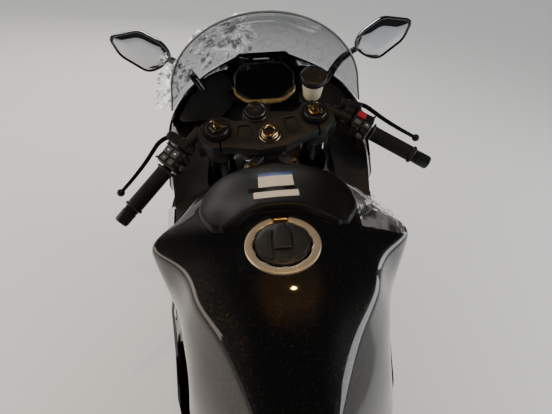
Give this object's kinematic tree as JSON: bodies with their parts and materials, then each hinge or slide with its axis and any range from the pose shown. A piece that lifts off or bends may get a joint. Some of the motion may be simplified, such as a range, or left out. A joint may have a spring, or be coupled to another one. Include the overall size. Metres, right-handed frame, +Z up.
{
  "type": "sport motorcycle",
  "caption": "Fully faired road sport bike leaning on its side stand, with spinning wheels, turning steering, folding stand and hinged fuel filler lid",
  "frame": {"origin": "on the floor, at the centre of the parked bike's footprint box", "axes": "+X forward, +Y to the rider's left, +Z up from the floor; the bike leans towards +Y on its side stand"},
  "size_m": [2.0328, 0.7046, 1.0992],
  "materials": {
    "anodised_gold": "satin gold anodised aluminium",
    "bright_steel": "polished hard chrome",
    "cast_black": "satin black brown coated casting",
    "dark_steel": "oiled dark steel",
    "disc_steel": "ground steel",
    "engine_black": "satin dark grey coated casting",
    "exhaust_steel": "brushed stainless steel",
    "fork_black": "black anodised tube",
    "frame_black": "satin black painted aluminium",
    "gloss_black": "gloss black paint on plastic",
    "lamp_glass": "clear lens",
    "lamp_red": "red lens",
    "lock_black": "matt black",
    "plastic_black": "matt black grained plastic",
    "radiator_black": "black coated finned core",
    "reservoir_cream": "translucent cream plastic under a black cap",
    "rubber_black": "matt black rubber",
    "screen_dark": "dark glossy display, off",
    "screen_smoke": "smoke tinted clear plastic",
    "seat_vinyl": "matt black grained vinyl",
    "tank_black": "gloss black paint with fine metal flake",
    "tyre": "matt road tyre rubber",
    "wheel_black": "gloss black painted cast aluminium"
  },
  "bodies": {
    "chassis": {"frame": "frame_black", "engine": "engine_black", "radiator": "radiator_black", "exhaust": "exhaust_steel", "muffler": "exhaust_steel", "swingarm": "frame_black", "rear_axle": "bright_steel", "rear_shock": "cast_black", "chain": "dark_steel", "fuel_tank": "tank_black", "tank_cover": "plastic_black", "filler_ring": "anodised_gold", "upper_cowl": "gloss_black", "headlamps": "lamp_glass", "windscreen": "screen_smoke", "side_fairing_left": "gloss_black", "side_fairing_right": "gloss_black", "belly_pan": "gloss_black", "tail_cowl": "gloss_black", "rider_seat": "seat_vinyl", "pillion_seat": "seat_vinyl", "tail_lamp": "lamp_red", "mirrors": "gloss_black", "dash": "screen_dark", "cowl_stay": "cast_black", "cockpit_panels": "plastic_black", "rearsets": "cast_black", "rear_caliper": "cast_black", "rear_fender": "plastic_black", "plate_bracket": "plastic_black"},
    "steering": {"fork_tubes": "fork_black", "fork_sliders": "bright_steel", "fork_feet": "cast_black", "front_axle": "bright_steel", "upper_yoke": "cast_black", "lower_yoke": "cast_black", "fork_caps": "anodised_gold", "stem_nut": "bright_steel", "ignition_lock": "lock_black", "clip_ons": "cast_black", "grips": "rubber_black", "switchgear": "plastic_black", "levers": "cast_black", "brake_reservoir": "reservoir_cream", "front_fender": "gloss_black", "front_calipers": "cast_black", "brake_hoses": "rubber_black"},
    "front_wheel": {"front_tyre": "tyre", "front_rim": "wheel_black", "front_discs": "disc_steel"},
    "rear_wheel": {"rear_tyre": "tyre", "rear_rim": "wheel_black", "rear_disc": "disc_steel", "rear_sprocket": "dark_steel"},
    "fuel_lid": {"fuel_lid": "lock_black"},
    "side_stand": {"side_stand": "cast_black"}
  },
  "joints": [
    {"name": "steering", "type": "hinge", "parent": "chassis", "child": "steering", "pos_m": [0.47686, -0.01286, 0.74662], "axis": [-0.4132, 0.1503, 0.8981], "range_deg": [-35, 19]},
    {"name": "front_wheel_spin", "type": "hinge", "parent": "steering", "child": "front_wheel", "pos_m": [0.71844, -0.08422, 0.29407], "axis": [-0.1267, 0.9672, -0.2202], "continuous": true},
    {"name": "rear_wheel_spin", "type": "hinge", "parent": "chassis", "child": "rear_wheel", "pos_m": [-0.70125, -0.0856, 0.31199], "axis": [0, 0.9863, -0.165], "continuous": true},
    {"name": "side_stand_fold", "type": "hinge", "parent": "chassis", "child": "side_stand", "pos_m": [-0.05334, 0.08104, 0.22929], "axis": [0.0008, 0.9444, 0.3287], "range_deg": [0, 88]},
    {"name": "fuel_lid_hinge", "type": "hinge", "parent": "chassis", "child": "fuel_lid", "pos_m": [0.11059, 0.01482, 0.91203], "axis": [0, 0.9863, -0.165], "range_deg": [0, 92]}
  ]
}
